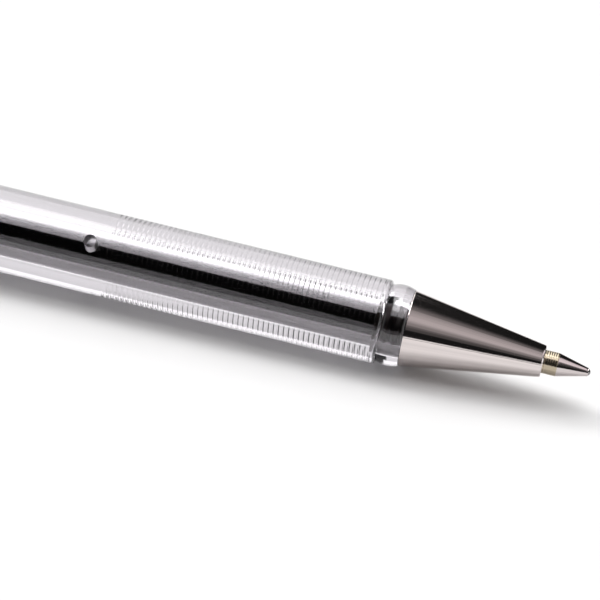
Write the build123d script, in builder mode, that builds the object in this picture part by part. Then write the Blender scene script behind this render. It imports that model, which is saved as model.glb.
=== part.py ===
from build123d import *
import math
import os

# Stick ballpoint pen with a clear barrel, lying on a table with its cap posted on the rear end.
# Lengths are millimetres and angles are degrees. +X points along the pen to the writing end, +Z is up
# and z = 0 is the table. A station is a distance along the pen, counted back from the ball's outer end.

# Barrel: thick clear tube with a ring-grooved grip and a crowned collar at its front. The real grip has
# about 54 finer rings on the same length: they are drawn coarser here to keep the solid light.
barrel_r = 4.15
barrel_length = 123.0
bore_r = 1.62
collar_length = 2.3
collar_r = 4.0
collar_end_r = 3.75
shoulder_edge = 0.3
grip_length = 27.0
groove_count = 30
groove_depth = 0.12
lead_ring_width = 1.0
lead_ring_depth = 0.07
vent_r = 0.62
vent_behind_grip = 1.73
vent_turn = 40.5
post_r = 3.95
post_lead = 0.3
rear_chamfer = 0.3

# Nose cone: turned metal, screwed into the barrel by a short spigot
cone_length = 13.4
cone_base_r = 3.75
cone_end_r = 1.57
cone_edge = 0.08
spigot_length = 3.0
spigot_r = 1.95
spigot_chamfer = 0.2

# Refill: tube, ink column, holder, metal point and ball
refill_r = 1.5
refill_wall = 0.35
empty_length = 26.0
holder_nose_r = 1.25
holder_nose_length = 2.9
holder_flange_length = 1.5
holder_plug_length = 4.5
holder_channel_r = 0.6
point_r = 1.15
point_reach = 4.6
point_straight = 1.4
point_body_length = 6.0
point_tail_r = 0.8
point_tail_length = 4.0
point_channel_r = 0.5
capillary_r = 0.16
capillary_length = 1.1
lip_r = 0.43
lip_length = 0.12
seat_angle = 45.0
ball_r = 0.35
ball_proud = 0.21

# End plug: pressed into the barrel's rear
plug_head = 2.0
plug_edge = 0.8
plug_stem_length = 8.0
plug_stem_chamfer = 0.3

# Cap and its pocket clip
cap_r = 5.1
cap_bore_r = 4.4
cap_length = 52.0
cap_depth = 28.0
cap_edge = 0.8
cap_mouth_edge = 0.25
cap_end_wall = 2.4
cap_vent_r = 1.2
cap_nose_r = 4.08
rib_count = 6
rib_width = 0.8
rib_length = 26.0
rib_start = 1.2
clip_width = 3.6
clip_tip_width = 2.8
clip_thickness = 1.3
clip_gap = 1.3
clip_reach = 38.0
clip_root_length = 5.0
clip_root_depth = 0.6
clip_bead_length = 3.0
clip_bead_gap = 0.2
clip_nose_lift = 0.5
clip_edge = 0.35
clip_root_edge = 0.8
clip_end_inset = 0.6

# Fits and cutting allowance
running_gap = 0.03
ball_gap = 0.01
face_gap = 0.02
rib_gap = 0.05
refill_end_gap = 0.05
overrun = 0.5

# Stations along the pen
cone_front = point_reach
cone_rear = cone_front + cone_length
barrel_front = cone_rear + face_gap
neck = barrel_front + collar_length
grip_front = neck + shoulder_edge
grip_rear = grip_front + grip_length
lead_ring_rear = grip_rear + lead_ring_width
vent_station = grip_rear + vent_behind_grip
barrel_rear = barrel_front + barrel_length
pen_rear = barrel_rear + plug_head
cap_front = pen_rear - cap_depth
cap_rear = cap_front + cap_length
post_front = cap_front - post_lead
cap_cavity_end = cap_rear - cap_end_wall
ball_centre = ball_r
lip_front = ball_proud
taper_rear = point_reach - point_straight
point_shoulder = point_reach + point_body_length
holder_flange = point_shoulder + holder_nose_length
tube_front = holder_flange + holder_flange_length
holder_rear = tube_front + holder_plug_length
stem_front = barrel_rear - plug_stem_length
tube_rear = stem_front - refill_end_gap
ink_rear = tube_rear - empty_length
tube_bore_r = refill_r - refill_wall
cone_bore_r = refill_r + running_gap
counterbore_r = spigot_r + running_gap
counterbore_depth = spigot_length + face_gap

# The cap lies on the table and rolls no further than the clip lets it: a corner of the clip's bevelled
# lower edge touches the table beside the cap. The turn runs from straight down to the +Y side.
clip_half = clip_width / 2
clip_inner = cap_r + clip_gap
clip_outer = clip_inner + clip_thickness
bevel_corners = [(clip_outer, clip_half - clip_edge), (clip_outer - clip_edge, clip_half)]
clip_turn = max(
    math.atan2(across, out) + math.acos(cap_r / math.hypot(out, across)) for out, across in bevel_corners
)
clip_side = max(out * math.sin(clip_turn) + across * math.cos(clip_turn) for out, across in bevel_corners)

# The frame's origin is under the middle of the whole pen
tip_x = cap_rear / 2
axis_y = (cap_r - clip_side) / 2
axis_z = cap_r
pen_origin = Vector(tip_x, axis_y, axis_z)
pen_plane = Plane(pen_origin, x_dir=(-1, 0, 0), z_dir=(0, 1, 0))
pen_axis = Axis(pen_origin, (-1, 0, 0))


def square_to_pen(station):
    """Plane square to the pen at a station, facing its rear end."""
    return Plane(pen_plane.from_local_coords((station, 0, 0)), x_dir=(0, 1, 0), z_dir=(-1, 0, 0))


os.makedirs("parts", exist_ok=True)

# Barrel: one turned profile with the collar's crown and the grip's ring grooves, then the vent hole
with BuildPart() as barrel:
    with BuildSketch(pen_plane):
        with BuildLine():
            collar_middle = (barrel_front + neck) / 2
            groove_pitch = grip_length / groove_count
            grip_outline = []
            for ring in range(groove_count):
                crest = grip_front + ring * groove_pitch
                grip_outline += [(crest, barrel_r), (crest + groove_pitch / 2, barrel_r - groove_depth)]
            Polyline(
                (barrel_front + counterbore_depth, bore_r),
                (barrel_front + counterbore_depth, counterbore_r),
                (barrel_front, counterbore_r),
                (barrel_front, collar_end_r),
            )
            ThreePointArc((barrel_front, collar_end_r), (collar_middle, collar_r), (neck, collar_end_r))
            Polyline(
                (neck, collar_end_r),
                (neck, barrel_r - shoulder_edge),
                *grip_outline,
                (grip_rear, barrel_r),
                ((grip_rear + lead_ring_rear) / 2, barrel_r - lead_ring_depth),
                (lead_ring_rear, barrel_r),
                (post_front, barrel_r),
                (post_front, post_r),
                (barrel_rear - rear_chamfer, post_r),
                (barrel_rear, post_r - rear_chamfer),
                (barrel_rear, bore_r),
                (barrel_front + counterbore_depth, bore_r),
            )
        make_face()
    revolve(axis=pen_axis)
    vent_angle = math.radians(vent_turn)
    vent_out = (0, -math.cos(vent_angle), math.sin(vent_angle))
    vent_centre = pen_plane.from_local_coords((vent_station, 0, 0))
    with BuildSketch(Plane(vent_centre, x_dir=(1, 0, 0), z_dir=vent_out)):
        Circle(vent_r)
    extrude(amount=barrel_r + overrun, mode=Mode.SUBTRACT)
barrel.part.label = "barrel"
export_step(barrel.part, "parts/barrel.step")

# Nose cone: tapered shell with a close hole for the point, a wider bore for the refill and a spigot
with BuildPart() as nose_cone:
    with BuildSketch(pen_plane):
        with BuildLine():
            hole_r = point_r + running_gap
            seat_station = point_shoulder - face_gap
            spigot_rear = cone_rear + spigot_length
            Polyline(
                (cone_front, hole_r),
                (cone_front, cone_end_r - cone_edge),
                (cone_front + cone_edge, cone_end_r),
                (cone_rear, cone_base_r),
                (cone_rear, spigot_r),
                (spigot_rear - spigot_chamfer, spigot_r),
                (spigot_rear, spigot_r - spigot_chamfer),
                (spigot_rear, cone_bore_r),
                (seat_station, cone_bore_r),
                (seat_station, hole_r),
                close=True,
            )
        make_face()
    revolve(axis=pen_axis)
nose_cone.part.label = "nose_cone"
export_step(nose_cone.part, "parts/nose_cone.step")

# Refill tube: plain drawn tube
with BuildPart() as refill_tube:
    with BuildSketch(square_to_pen(tube_front)):
        Circle(refill_r)
        Circle(tube_bore_r, mode=Mode.SUBTRACT)
    extrude(amount=tube_rear - tube_front)
refill_tube.part.label = "refill_tube"
export_step(refill_tube.part, "parts/refill_tube.step")

# Ink: fills the tube from the holder's plug back
with BuildPart() as ink:
    with BuildSketch(square_to_pen(holder_rear)):
        Circle(tube_bore_r)
    extrude(amount=ink_rear - holder_rear)
ink.part.label = "ink"
export_step(ink.part, "parts/ink.step")

# Tip holder: plug in the tube, flange against its end and a nose that grips the point's tail
with BuildPart() as tip_holder:
    with BuildSketch(pen_plane):
        with BuildLine():
            tail_rear = point_shoulder + point_tail_length
            Polyline(
                (point_shoulder, point_tail_r),
                (point_shoulder, holder_nose_r),
                (holder_flange, holder_nose_r),
                (holder_flange, refill_r),
                (tube_front, refill_r),
                (tube_front, tube_bore_r),
                (holder_rear, tube_bore_r),
                (holder_rear, holder_channel_r),
                (tail_rear, holder_channel_r),
                (tail_rear, point_tail_r),
                close=True,
            )
        make_face()
    revolve(axis=pen_axis)
tip_holder.part.label = "tip_holder"
export_step(tip_holder.part, "parts/tip_holder.step")

# Writing point: taper with a rolled lip, ball seat with a conical floor, capillary and feed channel
with BuildPart() as point:
    with BuildSketch(pen_plane):
        with BuildLine():
            seat_r = ball_r + ball_gap
            seat_sin = math.sin(math.radians(seat_angle))
            seat_cos = math.cos(math.radians(seat_angle))
            seat_mouth_r = math.sqrt(seat_r**2 - (ball_centre - lip_front) ** 2)
            seat_wall_rear = ball_centre + seat_r * (1 - seat_cos) / seat_sin
            seat_rear = ball_centre + (seat_r - capillary_r * seat_cos) / seat_sin
            capillary_rear = seat_rear + capillary_length
            Polyline(
                (lip_front, seat_mouth_r),
                (lip_front, lip_r),
                (lip_front + lip_length, lip_r),
                (taper_rear, point_r),
                (point_shoulder, point_r),
                (point_shoulder, point_tail_r),
                (point_shoulder + point_tail_length, point_tail_r),
                (point_shoulder + point_tail_length, point_channel_r),
                (capillary_rear, point_channel_r),
                (capillary_rear, capillary_r),
                (seat_rear, capillary_r),
                (seat_wall_rear, seat_r),
                (ball_centre, seat_r),
                close=True,
            )
        make_face()
    revolve(axis=pen_axis)
point.part.label = "point"
export_step(point.part, "parts/point.step")

# Ball: free to roll in the point's seat
with BuildPart() as ball:
    with Locations(pen_plane.from_local_coords((ball_centre, 0, 0))):
        Sphere(ball_r)
ball.part.label = "ball"
export_step(ball.part, "parts/ball.step")

# End plug: stem pressed into the bore, head with a bevelled edge
with BuildPart() as end_plug:
    with BuildSketch(pen_plane):
        with BuildLine():
            Polyline(
                (pen_rear, 0),
                (stem_front, 0),
                (stem_front, bore_r - plug_stem_chamfer),
                (stem_front + plug_stem_chamfer, bore_r),
                (barrel_rear, bore_r),
                (barrel_rear, barrel_r),
                (pen_rear - plug_edge, barrel_r),
                (pen_rear, barrel_r - plug_edge),
                close=True,
            )
        make_face()
    revolve(axis=pen_axis)
end_plug.part.label = "end_plug"
export_step(end_plug.part, "parts/end_plug.step")

# Places on the clip, whose plane holds the pen's axis and leans to the table
clip_out = Vector(0, math.sin(clip_turn), -math.cos(clip_turn))
clip_plane = Plane(pen_origin, x_dir=(-1, 0, 0), z_dir=Vector(-1, 0, 0).cross(clip_out))
clip_rear = cap_rear - clip_end_inset
clip_front = clip_rear - clip_reach
root_front = clip_rear - clip_root_length
root_floor = cap_r - clip_root_depth

# Cap: stepped bore with grip ribs, nose cavity, air hole and a socket for the clip
with BuildPart() as cap:
    with BuildSketch(pen_plane):
        with BuildLine():
            Polyline(
                (cap_rear, cap_r - cap_edge),
                (cap_rear, cap_vent_r),
                (cap_cavity_end, cap_vent_r),
                (cap_cavity_end, cap_nose_r),
                (pen_rear, cap_nose_r),
                (pen_rear, cap_bore_r),
                (cap_front, cap_bore_r),
                (cap_front, cap_r - cap_mouth_edge),
                (cap_front + cap_mouth_edge, cap_r),
                (cap_rear - cap_edge, cap_r),
                close=True,
            )
        make_face()
    revolve(axis=pen_axis)
    rib_inner = barrel_r + rib_gap
    rib_outer = (cap_bore_r + cap_r) / 2
    with BuildSketch(square_to_pen(cap_front + rib_start)):
        with PolarLocations((rib_inner + rib_outer) / 2, rib_count):
            Rectangle(rib_outer - rib_inner, rib_width)
    extrude(amount=rib_length)
    with BuildSketch(clip_plane):
        with BuildLine():
            Polyline(
                (root_front, root_floor),
                (clip_rear, root_floor),
                (clip_rear, cap_r + overrun),
                (root_front, cap_r + overrun),
                close=True,
            )
        make_face()
    extrude(amount=clip_half, both=True, mode=Mode.SUBTRACT)
cap.part.label = "cap"
export_step(cap.part, "parts/cap.step")

# Cap clip: side outline with its root in the socket and a bead at the free end, then the plan outline
with BuildPart() as cap_clip:
    with BuildSketch(clip_plane):
        with BuildLine():
            bead_start = clip_front + clip_nose_lift
            bead_end = bead_start + clip_bead_length
            bead_middle = (bead_start + bead_end) / 2
            Polyline(
                (bead_end, clip_inner),
                (root_front, clip_inner),
                (root_front, root_floor),
                (clip_rear, root_floor),
                (clip_rear, clip_outer - clip_root_edge),
                (clip_rear - clip_root_edge, clip_outer),
                (clip_front, clip_outer),
                (clip_front, clip_inner + clip_nose_lift),
                (bead_start, clip_inner),
            )
            bead_low = cap_r + clip_bead_gap
            ThreePointArc((bead_start, clip_inner), (bead_middle, bead_low), (bead_end, clip_inner))
        make_face()
    extrude(amount=clip_half, both=True)
    with BuildSketch(Plane(pen_origin, x_dir=(-1, 0, 0), z_dir=clip_out)):
        with BuildLine():
            tip_half = clip_tip_width / 2
            tip_start = clip_front + tip_half
            Polyline(
                (tip_start, tip_half),
                (root_front, clip_half),
                (clip_rear, clip_half),
                (clip_rear, -clip_half),
                (root_front, -clip_half),
                (tip_start, -tip_half),
            )
            ThreePointArc((tip_start, -tip_half), (clip_front, 0), (tip_start, tip_half))
        make_face()
    extrude(amount=clip_outer + overrun, mode=Mode.INTERSECT)
    flat_faces = cap_clip.faces().filter_by(Plane(pen_origin, z_dir=clip_out))
    outer_face = flat_faces.sort_by(Axis(pen_origin, clip_out))[-1]
    long_edges = outer_face.edges().filter_by(GeomType.LINE).filter_by(lambda edge: edge.length > clip_width)
    chamfer(long_edges, clip_edge)
cap_clip.part.label = "cap_clip"
export_step(cap_clip.part, "parts/cap_clip.step")
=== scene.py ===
import math

import bpy
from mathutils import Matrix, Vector


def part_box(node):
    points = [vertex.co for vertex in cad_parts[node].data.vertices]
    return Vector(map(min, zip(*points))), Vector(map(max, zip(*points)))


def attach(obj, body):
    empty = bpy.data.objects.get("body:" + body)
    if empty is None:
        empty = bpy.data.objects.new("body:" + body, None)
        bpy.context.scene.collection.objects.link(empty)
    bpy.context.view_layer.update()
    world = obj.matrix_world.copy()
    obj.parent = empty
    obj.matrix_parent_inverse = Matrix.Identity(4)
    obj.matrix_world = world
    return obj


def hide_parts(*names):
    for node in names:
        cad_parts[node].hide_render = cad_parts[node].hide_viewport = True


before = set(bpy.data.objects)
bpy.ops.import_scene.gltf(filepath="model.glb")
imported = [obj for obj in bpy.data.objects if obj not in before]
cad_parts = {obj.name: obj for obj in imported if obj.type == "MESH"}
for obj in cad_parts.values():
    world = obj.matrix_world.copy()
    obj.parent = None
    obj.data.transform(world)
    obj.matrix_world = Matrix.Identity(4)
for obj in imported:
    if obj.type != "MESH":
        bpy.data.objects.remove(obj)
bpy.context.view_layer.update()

# Stick ballpoint pen with a clear barrel. Outlines are in millimetres: a station is the distance back
# from the ball's outer end along the pen, and a radius is the distance from the pen's axis. The places
# and outer sizes come from the frame, and the inner sizes are those of the same pieces in the solids.
MM = 0.001
# A turn round the pen is in degrees and runs from the near side up over the top
TOP_TURN = 90.0


def span(node):
    """First station, last station and radius of a turned node."""
    low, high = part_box(node)
    return (tip_x - high.x) / MM, (tip_x - low.x) / MM, (high.z - low.z) / 2 / MM


tip_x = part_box("ball")[1].x
barrel_low, barrel_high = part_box("barrel")
pen_axis = Vector((tip_x, (barrel_low.y + barrel_high.y) / 2, (barrel_low.z + barrel_high.z) / 2))
barrel_front, barrel_rear, barrel_r = span("barrel")
cone_front, spigot_rear, cone_base_r = span("nose_cone")
lip_front, tail_rear, point_r = span("point")
ball_r = span("ball")[2]
holder_front, holder_rear, flange_r = span("tip_holder")
tube_front, tube_rear, tube_r = span("refill_tube")
ink_front, ink_rear, ink_r = span("ink")
stem_front, plug_rear, plug_r = span("end_plug")
cap_front, cap_rear, cap_r = span("cap")

# Barrel. The solids have fewer and deeper grooves and a deeper lead ring. Their vent goes through to the
# bore, and this one goes halfway to the axis.
bore_r = 1.62
collar_length = 2.3
collar_r = 4.0
collar_end_r = 3.75
collar_points = 17
shoulder_r = 0.3
shoulder_points = 9
grip_length = 27.0
groove_count = 54
groove_width = 0.32
groove_depth = 0.026
groove_points = 7
lead_ring_width = 1.0
lead_ring_depth = 0.02
lead_ring_points = 9
vent_r = 0.62
vent_depth_share = 0.5
vent_behind_grip = 1.73
vent_turn = 40.5
vent_steps = 48
post_r = 3.95
post_lead = 0.3
spigot_gap = 0.03

# Nose cone
cone_end_r = 1.57
nose_edge = 0.1
spigot_length = 3.0
spigot_r = 1.95
thread_pitch = 0.5
thread_depth = 0.25
thread_start_share = 0.7
thread_rise_share = 0.45
thread_crest_share = 0.1
refill_gap = 0.03

# Refill
point_straight = 1.4
point_tail_r = 0.8
point_channel_r = 0.5
capillary_r = 0.16
capillary_length = 1.1
lip_r = 0.43
lip_length = 0.12
lip_round = 0.03
seat_start_angle = 26.0
seat_end_angle = 113.0
seat_points = 12
ball_gap = 0.01
ball_points = 33
ball_steps = 64
holder_nose_r = 1.25
holder_flange_length = 1.5
holder_channel_r = 0.6
ink_overlap = 0.01
meniscus_depth = 0.5
meniscus_steps = 8

# Plug and cap
plug_edge = 0.8
plug_stem_edge = 0.3
cap_bore_r = 4.4
cap_nose_r = 4.08
cap_edge = 0.8
cap_mouth_edge = 0.25
cap_end_wall = 2.4
cap_vent_r = 1.2
rib_count = 6
rib_width = 0.8
rib_length = 26.0
rib_start = 1.2
rib_gap = 0.05

# Clip. It leans this far round the pen from straight up, over the back and down to the table.
clip_turn = 118.61
clip_width = 3.6
clip_tip_width = 2.8
clip_tip_points = 17
clip_thickness = 1.3
clip_gap = 1.3
clip_reach = 38.0
clip_root_length = 5.0
clip_root_depth = 0.6
clip_root_edge = 0.8
clip_bead_length = 3.0
clip_bead_gap = 0.2
clip_bead_points = 13
clip_nose_lift = 0.5
clip_end_inset = 0.6
clip_round = 0.6
clip_round_segments = 5

# Rounding of turned and moulded corners. A corner is rounded where it turns by more than its angle: the
# steep one leaves grooves and tapers alone, and the shallow one takes in bevelled edges.
metal_round = 0.04
plastic_round = 0.05
cap_round = 0.2
rib_round = 0.06
round_segments = 3
corner_angle = 40.0
steep_corner_angle = 60.0
shallow_corner_angle = 30.0

# Steps of a full turn
TURN_STEPS = 160
# Edges that turn by more than this stay sharp in the shading
SHARP_ANGLE = 28.0
# Runs of an outline that are longer than this get a point this near to both ends
SUPPORTED_RUN = 0.4
SUPPORT = 0.1
# Points nearer than this are one
DOUBLES = 0.0005
# Faces are told apart by their middles, with this much to spare
FACE_MARGIN = 0.02

# Stations and radii that follow from these
cone_rear = spigot_rear - spigot_length
neck = barrel_front + collar_length
grip_front = neck + shoulder_r
grip_rear = grip_front + grip_length
vent_station = grip_rear + vent_behind_grip
post_front = cap_front - post_lead
counterbore_r = spigot_r + spigot_gap
taper_rear = cone_front - point_straight
cap_cavity_end = cap_rear - cap_end_wall
clip_rear = cap_rear - clip_end_inset


def spot(station, radius, turn=TOP_TURN):
    """Place on the pen in metres."""
    angle = math.radians(turn)
    out = Vector((0, -math.cos(angle), math.sin(angle)))
    return pen_axis + Vector((-station * MM, 0, 0)) + out * radius * MM


def from_axis(place):
    """Station and radius of a place."""
    return (tip_x - place.x) / MM, math.hypot(place.y - pen_axis.y, place.z - pen_axis.z) / MM


def arc(centre, radius, start, end, points):
    """Outline points on a circle. In degrees, 0 is to the rear, 90 outwards and 180 to the front."""
    angles = [math.radians(start + (end - start) * i / (points - 1)) for i in range(points)]
    return [(centre[0] + radius * math.cos(a), centre[1] + radius * math.sin(a)) for a in angles]


def crown(start, end, radius, rise, points):
    """Outline points of a shallow bow between two stations of one radius."""
    shares = [i / (points - 1) for i in range(points)]
    return [(start + (end - start) * s, radius + 4 * s * (1 - s) * rise) for s in shares]


def choose(piece):
    """Leaves one piece selected and active."""
    bpy.ops.object.select_all(action="DESELECT")
    piece.select_set(True)
    bpy.context.view_layer.objects.active = piece


def add_object(operator, **settings):
    """Runs an operator that adds an object, with nothing else selected, and returns the object."""
    bpy.ops.object.select_all(action="DESELECT")
    operator(**settings)
    return bpy.context.object


def start_line(name, places):
    """New mesh in edit mode: a primitive merged to a point, then extruded from place to place."""
    piece = add_object(bpy.ops.mesh.primitive_plane_add, size=MM, location=(0, 0, 0))
    piece.name = name
    piece.data.name = name
    bpy.ops.object.mode_set(mode="EDIT")
    bpy.ops.mesh.select_all(action="SELECT")
    bpy.ops.mesh.merge(type="CENTER")
    bpy.ops.transform.translate(value=places[0])
    for here, there in zip(places, places[1:]):
        bpy.ops.mesh.extrude_vertices_move(TRANSFORM_OT_translate={"value": there - here})
    bpy.ops.mesh.select_all(action="SELECT")
    return piece


def merge_doubles():
    """Makes points that lie together one, in edit mode."""
    bpy.ops.mesh.select_all(action="SELECT")
    bpy.ops.mesh.remove_doubles(threshold=DOUBLES * MM)


def close_mesh():
    """Merges doubles, turns the faces outwards and leaves edit mode."""
    merge_doubles()
    bpy.ops.mesh.normals_make_consistent(inside=False)
    bpy.ops.object.mode_set(mode="OBJECT")


def smooth(piece):
    """Merges what rounding and cutting left double, then shades smooth with the real corners kept."""
    choose(piece)
    bpy.ops.object.mode_set(mode="EDIT")
    merge_doubles()
    bpy.ops.object.mode_set(mode="OBJECT")
    bpy.ops.object.shade_smooth_by_angle(angle=math.radians(SHARP_ANGLE))


def modify(piece, kind, **settings):
    """Adds a modifier with its settings and applies it."""
    choose(piece)
    modifier = piece.modifiers.new(kind.lower(), kind)
    for name, value in settings.items():
        setattr(modifier, name, value)
    bpy.ops.object.modifier_apply(modifier=modifier.name)


def round_corners(piece, width, angle=corner_angle):
    """Rounds every corner that is sharper than the angle."""
    modify(piece, "BEVEL", width=width * MM, segments=round_segments, limit_method="ANGLE",
           angle_limit=math.radians(angle))


def cut(piece, tool, operation):
    """Cuts a piece with a tool mesh and deletes the tool."""
    modify(piece, "BOOLEAN", operation=operation, solver="EXACT", object=tool)
    bpy.data.objects.remove(tool)


def with_supports(outline):
    """Outline with a point near both ends of each long run, so that a round corner shades only itself."""
    points = [Vector(point) for point in outline]
    supported = points[:1]
    for here, there in zip(points, points[1:]):
        step = (there - here).normalized() * SUPPORT
        if (there - here).length > SUPPORTED_RUN:
            supported += [here + step, there - step]
        supported.append(there)
    return supported


def turned(name, outline, steps=TURN_STEPS):
    """A piece turned on the pen's axis from an outline of (station, radius) points."""
    piece = start_line(name, [spot(*point) for point in with_supports(outline)])
    bpy.ops.mesh.spin(steps=steps, angle=2 * math.pi, center=pen_axis, axis=(1, 0, 0))
    close_mesh()
    return piece


def grip_grooves():
    """Outline of the grip's ring grooves, each one shallow wave."""
    pitch = grip_length / groove_count
    outline = []
    for ring in range(groove_count):
        middle = grip_front + (ring + 0.5) * pitch
        for point in range(groove_points):
            share = point / (groove_points - 1)
            fall = groove_depth * (1 - math.cos(2 * math.pi * share)) / 2
            outline.append((middle + (share - 0.5) * groove_width, barrel_r - fall))
    return outline


def make_barrel():
    """Clear tube: crowned collar, ring-grooved grip, lead ring, vent hole, post seat and stepped bore."""
    counterbore_rear = spigot_rear + spigot_gap
    lead_ring_rear = grip_rear + lead_ring_width
    vent_rear = vent_station + 2 * vent_r
    barrel = turned("clear_barrel", [
        (counterbore_rear, bore_r),
        (counterbore_rear, counterbore_r),
        (barrel_front, counterbore_r),
        *crown(barrel_front, neck, collar_end_r, collar_r - collar_end_r, collar_points),
        *arc((grip_front, barrel_r - shoulder_r), shoulder_r, 180, 90, shoulder_points),
        *grip_grooves(),
        *crown(grip_rear, lead_ring_rear, barrel_r, -lead_ring_depth, lead_ring_points),
        (vent_rear, barrel_r),
        (post_front, barrel_r),
        (post_front, post_r),
        (barrel_rear, post_r),
        (barrel_rear, bore_r),
        (vent_rear, bore_r),
        (lead_ring_rear, bore_r),
        (counterbore_rear, bore_r),
    ])
    round_corners(barrel, plastic_round, steep_corner_angle)
    drill = add_object(
        bpy.ops.mesh.primitive_cylinder_add, vertices=vent_steps, radius=vent_r * MM,
        depth=2 * vent_depth_share * barrel_r * MM, location=spot(vent_station, barrel_r, vent_turn),
        rotation=(math.radians(TOP_TURN - vent_turn), 0, 0))
    cut(barrel, drill, "DIFFERENCE")
    smooth(barrel)
    return barrel


def make_nose_cone():
    """Cone with a sharp flat nose and rim, and a spigot in the barrel, its thread drawn as rings."""
    hole_r = point_r + refill_gap
    refill_r = tube_r + refill_gap
    root_r = spigot_r - thread_depth
    cone_slope = (cone_base_r - cone_end_r) / (cone_rear - cone_front)
    crest_end_share = thread_rise_share + thread_crest_share
    thread = []
    for turn in range(int(spigot_length / thread_pitch) - 1):
        foot = cone_rear + (turn + thread_start_share) * thread_pitch
        thread += [
            (foot, root_r),
            (foot + thread_rise_share * thread_pitch, spigot_r),
            (foot + crest_end_share * thread_pitch, spigot_r),
        ]
    cone = turned("nose_cone_shell", [
        (cone_front, hole_r),
        (cone_front, cone_end_r - nose_edge / 2),
        (cone_front + nose_edge, cone_end_r + nose_edge * cone_slope),
        (cone_rear, cone_base_r),
        (cone_rear, root_r),
        *thread,
        (spigot_rear, root_r),
        (spigot_rear, refill_r),
        (holder_front, refill_r),
        (holder_front, hole_r),
        (cone_front, hole_r),
    ])
    round_corners(cone, metal_round)
    smooth(cone)
    return cone


def make_refill_tube():
    """Clear plastic tube, open at both ends."""
    tube = turned("refill_tube_wall", [
        (tube_front, ink_r),
        (tube_front, tube_r),
        (tube_rear, tube_r),
        (tube_rear, ink_r),
        (tube_front, ink_r),
    ])
    round_corners(tube, plastic_round)
    smooth(tube)
    return tube


def make_ink():
    """Ink column that wets the tube's wall, with a hollow end."""
    wet_r = ink_r + ink_overlap
    shares = [i / meniscus_steps for i in range(meniscus_steps, -1, -1)]
    meniscus = [(ink_rear - meniscus_depth * (1 - share ** 2), wet_r * share) for share in shares]
    ink = turned("ink_column", [(ink_front, 0), (ink_front, wet_r), *meniscus])
    smooth(ink)
    return ink


def make_tip_holder():
    """Plastic adapter: nose round the point's tail, flange and plug in the tube."""
    flange_front = tube_front - holder_flange_length
    holder = turned("tip_holder_plug", [
        (holder_front, point_tail_r),
        (holder_front, holder_nose_r),
        (flange_front, holder_nose_r),
        (flange_front, flange_r),
        (tube_front, flange_r),
        (tube_front, ink_r),
        (holder_rear, ink_r),
        (holder_rear, holder_channel_r),
        (tail_rear, holder_channel_r),
        (tail_rear, point_tail_r),
        (holder_front, point_tail_r),
    ])
    round_corners(holder, plastic_round)
    smooth(holder)
    return holder


def make_point():
    """Metal point: rolled lip round the ball's seat, taper, straight part, tail and feed channel."""
    seat = arc((ball_r, 0), ball_r + ball_gap, seat_start_angle, seat_end_angle, seat_points)
    channel_front = ball_r + capillary_length
    point = turned("writing_point", [
        *seat,
        (lip_front, lip_r - lip_round),
        (lip_front + lip_round, lip_r),
        (lip_front + lip_length, lip_r),
        (taper_rear, point_r),
        (holder_front, point_r),
        (holder_front, point_tail_r),
        (tail_rear, point_tail_r),
        (tail_rear, point_channel_r),
        (channel_front, point_channel_r),
        (channel_front, capillary_r),
        seat[0],
    ])
    round_corners(point, lip_round, steep_corner_angle)
    smooth(point)
    return point


def make_ball():
    """Writing ball."""
    ball = turned("writing_ball", arc((ball_r, 0), ball_r, 0, 180, ball_points), ball_steps)
    smooth(ball)
    return ball


def make_end_plug():
    """Plug: stem in the bore and a bevelled head as wide as the barrel."""
    plug = turned("end_plug_head", [
        (plug_rear, 0),
        (stem_front, 0),
        (stem_front, bore_r - plug_stem_edge),
        (stem_front + plug_stem_edge, bore_r),
        (barrel_rear, bore_r),
        (barrel_rear, plug_r),
        (plug_rear - plug_edge, plug_r),
        (plug_rear, plug_r - plug_edge),
        (plug_rear, 0),
    ])
    round_corners(plug, cap_round, shallow_corner_angle)
    smooth(plug)
    return plug


def make_cap_ribs():
    """Grip ribs inside the cap: one is modelled at the top, then copied round the pen."""
    low = barrel_r + rib_gap
    high = (cap_bore_r + cap_r) / 2
    ribs = add_object(
        bpy.ops.mesh.primitive_cube_add, size=1,
        location=spot(cap_front + rib_start + rib_length / 2, (low + high) / 2),
        scale=(rib_length * MM, rib_width * MM, (high - low) * MM))
    bpy.ops.object.transform_apply(location=True, rotation=True, scale=True)
    round_corners(ribs, rib_round)
    bpy.ops.object.mode_set(mode="EDIT")
    bpy.ops.mesh.select_all(action="SELECT")
    for _ in range(rib_count - 1):
        bpy.ops.mesh.duplicate()
        bpy.ops.transform.rotate(value=2 * math.pi / rib_count, orient_axis="X", center_override=pen_axis)
    bpy.ops.object.mode_set(mode="OBJECT")
    return ribs


def make_cap():
    """Cap: tube with a stepped bore, grip ribs inside and an air hole in its end."""
    cap = turned("cap_body", [
        (cap_rear, cap_r - cap_edge),
        (cap_rear, cap_vent_r),
        (cap_cavity_end, cap_vent_r),
        (cap_cavity_end, cap_nose_r),
        (plug_rear, cap_nose_r),
        (plug_rear, cap_bore_r),
        (cap_front, cap_bore_r),
        (cap_front, cap_r - cap_mouth_edge),
        (cap_front + cap_mouth_edge, cap_r),
        (cap_rear - cap_edge, cap_r),
        (cap_rear, cap_r - cap_edge),
    ])
    round_corners(cap, cap_round, shallow_corner_angle)
    ribs = make_cap_ribs()
    choose(cap)
    ribs.select_set(True)
    bpy.ops.object.join()
    smooth(cap)
    return cap


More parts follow.
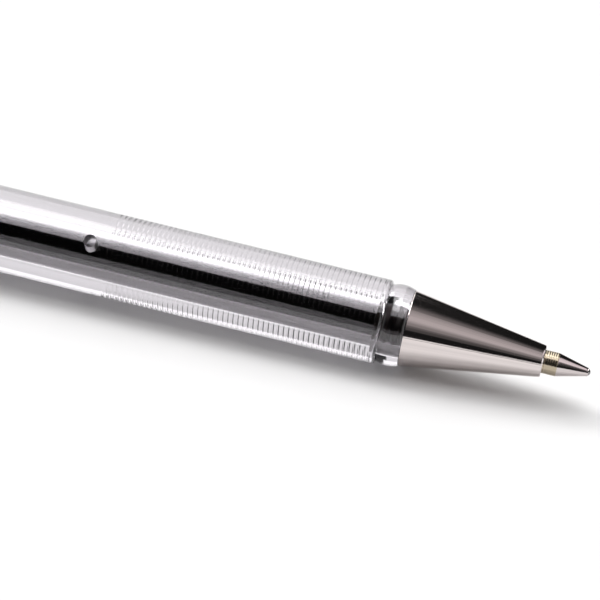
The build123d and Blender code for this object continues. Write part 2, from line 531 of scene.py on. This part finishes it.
def round_clip_back(clip, root_corner):
    """Rounds the edges of the clip's back, from its nose to the sloped corner over its root."""
    choose(clip)
    bpy.ops.object.mode_set(mode="EDIT")
    bpy.ops.mesh.select_mode(type="EDGE")
    bpy.ops.mesh.select_all(action="DESELECT")
    bpy.ops.object.mode_set(mode="OBJECT")
    for edge in clip.data.edges:
        ends = [clip.data.vertices[i].co for i in edge.vertices]
        on_back = min(end.z for end in ends) > root_corner.z - DOUBLES * MM
        past_corner = max(end.x for end in ends) > root_corner.x + DOUBLES * MM
        edge.select = on_back and past_corner
    bpy.ops.object.mode_set(mode="EDIT")
    bpy.ops.mesh.bevel(offset=clip_round * MM, segments=clip_round_segments, affect="EDGES")
    bpy.ops.mesh.select_mode(type="VERT")
    bpy.ops.object.mode_set(mode="OBJECT")


def make_clip():
    """Clip: side outline extruded to its width, trimmed to its plan, rounded, then leant over."""
    inner = cap_r + clip_gap
    outer = inner + clip_thickness
    front = clip_rear - clip_reach
    root_front = clip_rear - clip_root_length
    root_floor = cap_r - clip_root_depth
    slope_front = clip_rear - clip_root_edge
    bead_front = front + clip_nose_lift
    bead_rear = bead_front + clip_bead_length
    half = clip_width / 2
    tip_half = clip_tip_width / 2
    side = [
        *crown(bead_front, bead_rear, inner, clip_bead_gap - clip_gap, clip_bead_points),
        (root_front, inner),
        (root_front, root_floor),
        (clip_rear, root_floor),
        (clip_rear, outer - clip_root_edge),
        (slope_front, outer),
        (front, outer),
        (front, inner + clip_nose_lift),
    ]
    plan = [
        (clip_rear + half, -half),
        (clip_rear + half, half),
        (root_front, half),
        *arc((front + tip_half, 0), tip_half, 90, 270, clip_tip_points),
        (root_front, -half),
    ]
    clip = start_line("pocket_clip", [spot(*point) for point in side])
    bpy.ops.mesh.edge_face_add()
    bpy.ops.transform.translate(value=(0, -half * MM, 0))
    bpy.ops.mesh.extrude_region_move(TRANSFORM_OT_translate={"value": (0, clip_width * MM, 0)})
    close_mesh()
    cutter = start_line("clip_plan", [spot(x, 0) + Vector((0, across * MM, 0)) for x, across in plan])
    bpy.ops.mesh.edge_face_add()
    bpy.ops.mesh.extrude_region_move(TRANSFORM_OT_translate={"value": (0, 0, 2 * outer * MM)})
    close_mesh()
    cut(clip, cutter, "INTERSECT")
    round_clip_back(clip, spot(slope_front, outer))
    bpy.ops.object.mode_set(mode="EDIT")
    bpy.ops.mesh.select_all(action="SELECT")
    bpy.ops.transform.rotate(value=math.radians(clip_turn), orient_axis="X", center_override=pen_axis)
    bpy.ops.object.mode_set(mode="OBJECT")
    smooth(clip)
    return clip


def linear(hex_colour):
    """Linear colour of an sRGB hex value."""
    channels = [int(hex_colour[i:i + 2], 16) / 255 for i in (1, 3, 5)]
    return [c / 12.92 if c <= 0.04045 else ((c + 0.055) / 1.055) ** 2.4 for c in channels] + [1.0]


def add(tree, kind, settings=(), links=()):
    """Adds a node with its settings, by socket or property, and links its inputs from other sockets."""
    node = tree.nodes.new(kind)
    for name, value in dict(settings).items():
        if isinstance(name, int) or name in node.inputs:
            node.inputs[name].default_value = value
        else:
            setattr(node, name, value)
    for name, source in dict(links).items():
        tree.links.new(source, node.inputs[name])
    return node


# Colour sockets of a Mix node, which go by number because each kind of data has its own
MIX_FIRST = 6
MIX_SECOND = 7
MIX_RESULT = 2
# A wave texture of scale 1 repeats after this many metres
WAVE_REPEAT = math.pi / 10


def new_material(name):
    """Empty material, its tree and its Object coordinates."""
    material = bpy.data.materials.new(name)
    material.use_nodes = True
    tree = material.node_tree
    tree.nodes.clear()
    return material, tree, add(tree, "ShaderNodeTexCoord").outputs["Object"]


def finish_surface(tree, settings, links):
    """Principled shader and output."""
    shader = add(tree, "ShaderNodeBsdfPrincipled", settings, links)
    add(tree, "ShaderNodeOutputMaterial", {}, {"Surface": shader.outputs["BSDF"]})


def clear_styrene(name, roughness):
    """Clear styrene, injection moulded: glassy, faintly lilac in its depth, with weak flow lines along the
    tube that make the edges of its reflections waver."""
    flow_width = 2.5
    flow_stretch = 20.0
    flow_height = 0.0004
    material, tree, place = new_material(name)
    along = add(tree, "ShaderNodeMapping", {"Scale": (1 / flow_stretch, 1, 1)}, {"Vector": place})
    flow = add(tree, "ShaderNodeTexNoise", {"Scale": 1 / (flow_width * MM), "Detail": 2.0},
               {"Vector": along.outputs["Vector"]})
    bump = add(tree, "ShaderNodeBump", {"Strength": 1.0, "Distance": flow_height * MM},
               {"Height": flow.outputs["Fac"]})
    rough = add(tree, "ShaderNodeMapRange", {"To Min": roughness[0], "To Max": roughness[1]},
                {"Value": flow.outputs["Fac"]})
    finish_surface(tree, {"Base Color": linear("#E3DFE4"), "IOR": 1.59, "Transmission Weight": 1.0},
                   {"Normal": bump.outputs["Normal"], "Roughness": rough.outputs["Result"]})
    return material


def turned_metal(name, light, dark, roughness, line_pitch, line_height, grain_height):
    """Turned metal: near mirror, with fine lines round the axis that draw reflections out along it, a
    polishing grain along it that streaks them, and a slightly uneven polish. The lines and the grain are
    drawn coarser than the real ones, so that they show."""
    polish_size = 1.5
    grain_turn = 9.0
    material, tree, place = new_material(name)
    lines = add(tree, "ShaderNodeTexWave", {
        "wave_type": "BANDS", "bands_direction": "X", "Scale": WAVE_REPEAT / (line_pitch * MM),
        "Distortion": 0.6, "Detail": 1.0,
    }, {"Vector": place})
    polish = add(tree, "ShaderNodeTexNoise", {"Scale": 1 / (polish_size * MM), "Detail": 3.0},
                 {"Vector": place})
    from_middle = add(tree, "ShaderNodeVectorMath", {"operation": "SUBTRACT", 1: pen_axis}, {0: place})
    axes = add(tree, "ShaderNodeSeparateXYZ", {}, {"Vector": from_middle.outputs[0]})
    turn = add(tree, "ShaderNodeMath", {"operation": "ARCTAN2"},
               {0: axes.outputs["Y"], 1: axes.outputs["Z"]})
    unrolled = add(tree, "ShaderNodeCombineXYZ", {}, {"X": turn.outputs[0], "Y": axes.outputs["X"]})
    grain = add(tree, "ShaderNodeTexNoise", {"Scale": 1 / math.radians(grain_turn), "Detail": 3.0},
                {"Vector": unrolled.outputs[0]})
    streaks = add(tree, "ShaderNodeBump", {"Strength": 1.0, "Distance": grain_height * MM},
                  {"Height": grain.outputs["Fac"]})
    bump = add(tree, "ShaderNodeBump", {"Strength": 1.0, "Distance": line_height * MM},
               {"Height": lines.outputs["Fac"], "Normal": streaks.outputs["Normal"]})
    rough = add(tree, "ShaderNodeMapRange", {"To Min": roughness[0], "To Max": roughness[1]},
                {"Value": polish.outputs["Fac"]})
    tint = add(tree, "ShaderNodeMix", {
        "data_type": "RGBA", MIX_FIRST: linear(light), MIX_SECOND: linear(dark),
    }, {"Factor": grain.outputs["Fac"]})
    finish_surface(tree, {"Metallic": 1.0}, {
        "Base Color": tint.outputs[MIX_RESULT], "Roughness": rough.outputs["Result"],
        "Normal": bump.outputs["Normal"],
    })
    return material


def plain_solid(name, light, dark, roughness, ior, peel_height, settings=()):
    """Plain solid such as plastic, ink or card: a fine uneven skin and a slight change of shade."""
    peel_size = 0.35
    shade_size = 6.0
    material, tree, place = new_material(name)
    peel = add(tree, "ShaderNodeTexNoise", {"Scale": 1 / (peel_size * MM), "Detail": 2.0},
               {"Vector": place})
    shade = add(tree, "ShaderNodeTexNoise", {"Scale": 1 / (shade_size * MM), "Detail": 4.0},
                {"Vector": place})
    bump = add(tree, "ShaderNodeBump", {"Strength": 1.0, "Distance": peel_height * MM},
               {"Height": peel.outputs["Fac"]})
    rough = add(tree, "ShaderNodeMapRange", {"To Min": roughness[0], "To Max": roughness[1]},
                {"Value": shade.outputs["Fac"]})
    tint = add(tree, "ShaderNodeMix", {
        "data_type": "RGBA", MIX_FIRST: linear(light), MIX_SECOND: linear(dark),
    }, {"Factor": shade.outputs["Fac"]})
    finish_surface(tree, {"IOR": ior, **dict(settings)}, {
        "Base Color": tint.outputs[MIX_RESULT], "Roughness": rough.outputs["Result"],
        "Normal": bump.outputs["Normal"],
    })
    return material


def place_piece(piece, material, body, node):
    """Gives a piece its first material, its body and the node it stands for."""
    piece.data.materials.clear()
    piece.data.materials.append(material)
    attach(piece, body)
    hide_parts(node)


def second_finish(piece, material, wanted):
    """Gives the faces whose middles pass a test the piece's second material."""
    piece.data.materials.append(material)
    for face in piece.data.polygons:
        if wanted(face.center):
            face.material_index = 1


vent_base = spot(vent_station, 0)
vent_line = (spot(vent_station, barrel_r, vent_turn) - vent_base).normalized()


def in_vent(place):
    """Whether a place on the barrel is inside its vent."""
    out = place - vent_base
    beside = out.cross(vent_line).length / MM
    in_wall = bore_r + FACE_MARGIN < from_axis(place)[1] < barrel_r - FACE_MARGIN
    return in_wall and beside < vent_r + FACE_MARGIN and out.dot(vent_line) > 0


def on_thread(place):
    """Whether a place on the nose cone is on the outside of its spigot."""
    station, radius = from_axis(place)
    return station > cone_rear + FACE_MARGIN and radius > tube_r + 2 * refill_gap


def behind_taper(place):
    """Whether a place on the point is behind its taper."""
    return from_axis(place)[0] > taper_rear


# Light panels round the pen. Elevation is measured round the pen's axis: 0 is level at the near side, 90
# straight up and 180 level behind. Across is the direction's share along the pen, + towards the point.
# Each row: low and high elevation and their softness, low and high across and theirs, colour, strength.
panels = [
    # Softbox overhead in two halves, and the dimmer wall behind it
    (66, 90, 5, -0.36, 0.11, 0.03, "#FFFFFF", 4.3),
    (90, 112, 5, -0.36, 0.11, 0.03, "#FFFFFF", 5.6),
    (112, 138, 5, -0.36, 0.085, 0.03, "#FFFFFF", 1.7),
    (138, 152, 4, -0.36, 0.07, 0.02, "#FFFFFF", 1.8),
    (152, 176, 5, -0.36, 0.01, 0.025, "#FFFFFF", 1.0),
    # Level strip behind, from end to end
    (176, 190, 3, -0.95, 0.95, 0.025, "#FFFFFF", 1.2),
    # Keys from the cap's end, which throw the shadow towards the point
    (120, 140, 5, -0.7, -0.36, 0.03, "#FFFFFF", 5.0),
    (92, 120, 5, -0.97, -0.66, 0.03, "#FFFFFF", 13.0),
    # Faint fill behind, beyond the point
    (100, 140, 8, 0.45, 0.95, 0.05, "#FFFFFF", 0.4),
    # Strip that the point's taper mirrors, and a broad glow that the cone mirrors
    (62, 112, 6, 0.34, 0.62, 0.02, "#FFF4F8", 0.9),
    (45, 81, 30, 0.14, 0.42, 0.1, "#FFF6F7", 0.7),
    # Low fills on the near side, beyond the cap and beyond the point
    (8, 60, 10, -0.95, -0.62, 0.05, "#FFFFFF", 0.6),
    (8, 60, 10, 0.58, 1.2, 0.05, "#FFFFFF", 1.2),
]
studio_dark = 0.011


def make_studio():
    """World of soft white panels in a dark room."""
    world = bpy.data.worlds.new("studio")
    bpy.context.scene.world = world
    world.use_nodes = True
    tree = world.node_tree
    tree.nodes.clear()
    direction = add(tree, "ShaderNodeTexCoord").outputs["Generated"]
    axes = add(tree, "ShaderNodeSeparateXYZ", {}, {"Vector": direction})
    across = axes.outputs["X"]
    near = add(tree, "ShaderNodeMath", {"operation": "MULTIPLY", 1: -1.0}, {0: axes.outputs["Y"]})
    round_pen = add(tree, "ShaderNodeMath", {"operation": "ARCTAN2"},
                    {0: axes.outputs["Z"], 1: near.outputs[0]})
    elevation = round_pen.outputs[0]
    total = None
    for low, high, soft, left, right, soft_across, colour, strength in panels:
        edges = [
            (elevation, math.radians(low), math.radians(soft), 1),
            (elevation, math.radians(high), math.radians(soft), 0),
            (across, left, soft_across, 1),
            (across, right, soft_across, 0),
        ]
        level = None
        for source, middle, softness, rises in edges:
            ramp = add(tree, "ShaderNodeMapRange", {
                "interpolation_type": "SMOOTHSTEP",
                "From Min": middle - softness, "From Max": middle + softness,
                "To Min": 1 - rises, "To Max": rises,
            }, {"Value": source}).outputs["Result"]
            if level is not None:
                both = add(tree, "ShaderNodeMath", {"operation": "MULTIPLY"}, {0: level, 1: ramp})
                ramp = both.outputs[0]
            level = ramp
        light = [channel * strength for channel in linear(colour)[:3]]
        scaled = add(tree, "ShaderNodeVectorMath", {"operation": "SCALE", 0: light}, {"Scale": level})
        panel = scaled.outputs[0]
        if total is not None:
            both = add(tree, "ShaderNodeVectorMath", {"operation": "ADD"}, {0: total, 1: panel})
            panel = both.outputs[0]
        total = panel
    room = add(tree, "ShaderNodeVectorMath", {"operation": "ADD", 1: [studio_dark] * 3}, {0: total})
    sky = add(tree, "ShaderNodeBackground", {"Strength": 1.0}, {"Color": room.outputs[0]})
    add(tree, "ShaderNodeOutputWorld", {}, {"Surface": sky.outputs[0]})


floor_size = 4000.0
floor_squares = 8


def make_floor(material):
    """Plain pale table under the pen, which rests on the cap's mouth and the front of the grip."""
    mouth_x = spot(cap_front, 0).x
    lean = math.atan2(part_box("barrel")[0].z, spot(grip_front, 0).x - mouth_x)
    floor = add_object(
        bpy.ops.mesh.primitive_grid_add, x_subdivisions=floor_squares, y_subdivisions=floor_squares,
        size=floor_size * MM, location=(mouth_x, 0, 0), rotation=(0, -lean, 0))
    bpy.ops.object.transform_apply(location=True, rotation=True, scale=True)
    floor.name = "floor"
    floor.data.materials.append(material)


# Camera at the photograph's viewing angle
camera_azimuth = 7.0
camera_elevation = 27.5
camera_roll = 10.49
camera_distance = 260.0
camera_station = 28.7
camera_raise = 0.174
camera_lens = 161.55
camera_nearest = 10.0


def make_camera():
    """Camera that looks at a station of the pen, from its distance and angles."""
    azimuth = math.radians(camera_azimuth)
    elevation = math.radians(camera_elevation)
    back = Vector((math.cos(elevation) * math.sin(azimuth), -math.cos(elevation) * math.cos(azimuth),
                   math.sin(elevation)))
    camera = add_object(bpy.ops.object.camera_add)
    camera.rotation_euler = back.to_track_quat("Z", "Y").to_euler()
    camera.rotation_euler.rotate_axis("Z", math.radians(camera_roll))
    up = camera.rotation_euler.to_matrix() @ Vector((0, 1, 0))
    camera.location = spot(camera_station, 0) + back * camera_distance * MM + up * camera_raise * MM
    camera.data.lens = camera_lens
    camera.data.clip_start = camera_nearest * MM
    bpy.context.scene.camera = camera


# Polished mould on the barrel, for a clear view through it, and a matt core pin in its frosted vent
barrel_finish = clear_styrene("clear_styrene_polished_mould", roughness=(0.0, 0.012))
vent_finish = clear_styrene("clear_styrene_core_pin", roughness=(0.25, 0.35))
# Bright nickel plate over turned brass: a warm mirror, streaked along the cone by its polishing. Its thread
# is painted dark brown and rough: painted shade that stands in for the dark surroundings it mirrors in the
# collar.
nickel_finish = turned_metal(
    "nickel_plate_on_turned_brass", "#F2E9E7", "#C2BAB8", roughness=(0.05, 0.09),
    line_pitch=0.12, line_height=0.0004, grain_height=0.022)
dark_painted_thread_finish = turned_metal(
    "brass_thread_painted_dark", "#3B3431", "#2A2523", roughness=(0.3, 0.45),
    line_pitch=0.12, line_height=0.001, grain_height=0.0)
# Turned nickel silver on the point's taper: a pale, slightly warm mirror. Behind it the drawn metal is left
# as it is: duller and straw-coloured, with the coarsest lines, which break its highlight.
point_finish = turned_metal(
    "nickel_silver_turned", "#D6CECD", "#C6BDBC", roughness=(0.08, 0.13),
    line_pitch=0.15, line_height=0.0008, grain_height=0.002)
shank_finish = turned_metal(
    "nickel_silver_drawn", "#C8BCA9", "#A2967F", roughness=(0.12, 0.2),
    line_pitch=0.22, line_height=0.02, grain_height=0.004)
# Ground and polished carbide: dark grey and bright
ball_finish = turned_metal(
    "tungsten_carbide_ground", "#8C8A8A", "#7A7878", roughness=(0.05, 0.1),
    line_pitch=0.05, line_height=0.0001, grain_height=0.0)
# Extruded natural polypropylene: clear with a slight haze
tube_finish = plain_solid(
    "polypropylene_extruded_clear", "#F2F1EE", "#ECEBE7", roughness=(0.02, 0.06),
    ior=1.49, peel_height=0.0002, settings={"Transmission Weight": 1.0})
# Oil-based ink: dense black that wets the tube, so it has no gloss of its own
ink_finish = plain_solid(
    "ballpoint_ink_oil_based", "#050404", "#030303", roughness=(0.5, 0.6),
    ior=1.5, peel_height=0.0, settings={"Specular IOR Level": 0.0})
# Moulded natural polypropylene: milky white, satin
holder_finish = plain_solid(
    "polypropylene_moulded_natural", "#E2E0D8", "#D6D3CA", roughness=(0.3, 0.42),
    ior=1.49, peel_height=0.003)
# Glossy black polypropylene with a faint orange peel
black_finish = plain_solid(
    "polypropylene_moulded_black", "#101013", "#0A0A0C", roughness=(0.16, 0.26),
    ior=1.49, peel_height=0.0015)
# Uncoated white card for the table: quite matt
card_finish = plain_solid(
    "white_card_uncoated", "#E5E5E5", "#E2E2E2", roughness=(0.75, 0.85),
    ior=1.5, peel_height=0.002, settings={"Specular IOR Level": 0.0})

make_camera()
barrel = make_barrel()
cone = make_nose_cone()
place_piece(barrel, barrel_finish, "barrel", "barrel")
place_piece(cone, nickel_finish, "nose_cone", "nose_cone")
place_piece(make_refill_tube(), tube_finish, "refill", "refill_tube")
place_piece(make_ink(), ink_finish, "refill", "ink")
place_piece(make_tip_holder(), holder_finish, "refill", "tip_holder")
point = make_point()
place_piece(point, point_finish, "refill", "point")
place_piece(make_ball(), ball_finish, "ball", "ball")
place_piece(make_end_plug(), black_finish, "barrel", "end_plug")
place_piece(make_cap(), black_finish, "cap", "cap")
place_piece(make_clip(), black_finish, "cap", "cap_clip")
second_finish(barrel, vent_finish, in_vent)
# The spigot's thread takes the painted dark shade
second_finish(cone, dark_painted_thread_finish, on_thread)
second_finish(point, shank_finish, behind_taper)
make_floor(card_finish)
make_studio()
bpy.context.scene.view_settings.view_transform = "Standard"
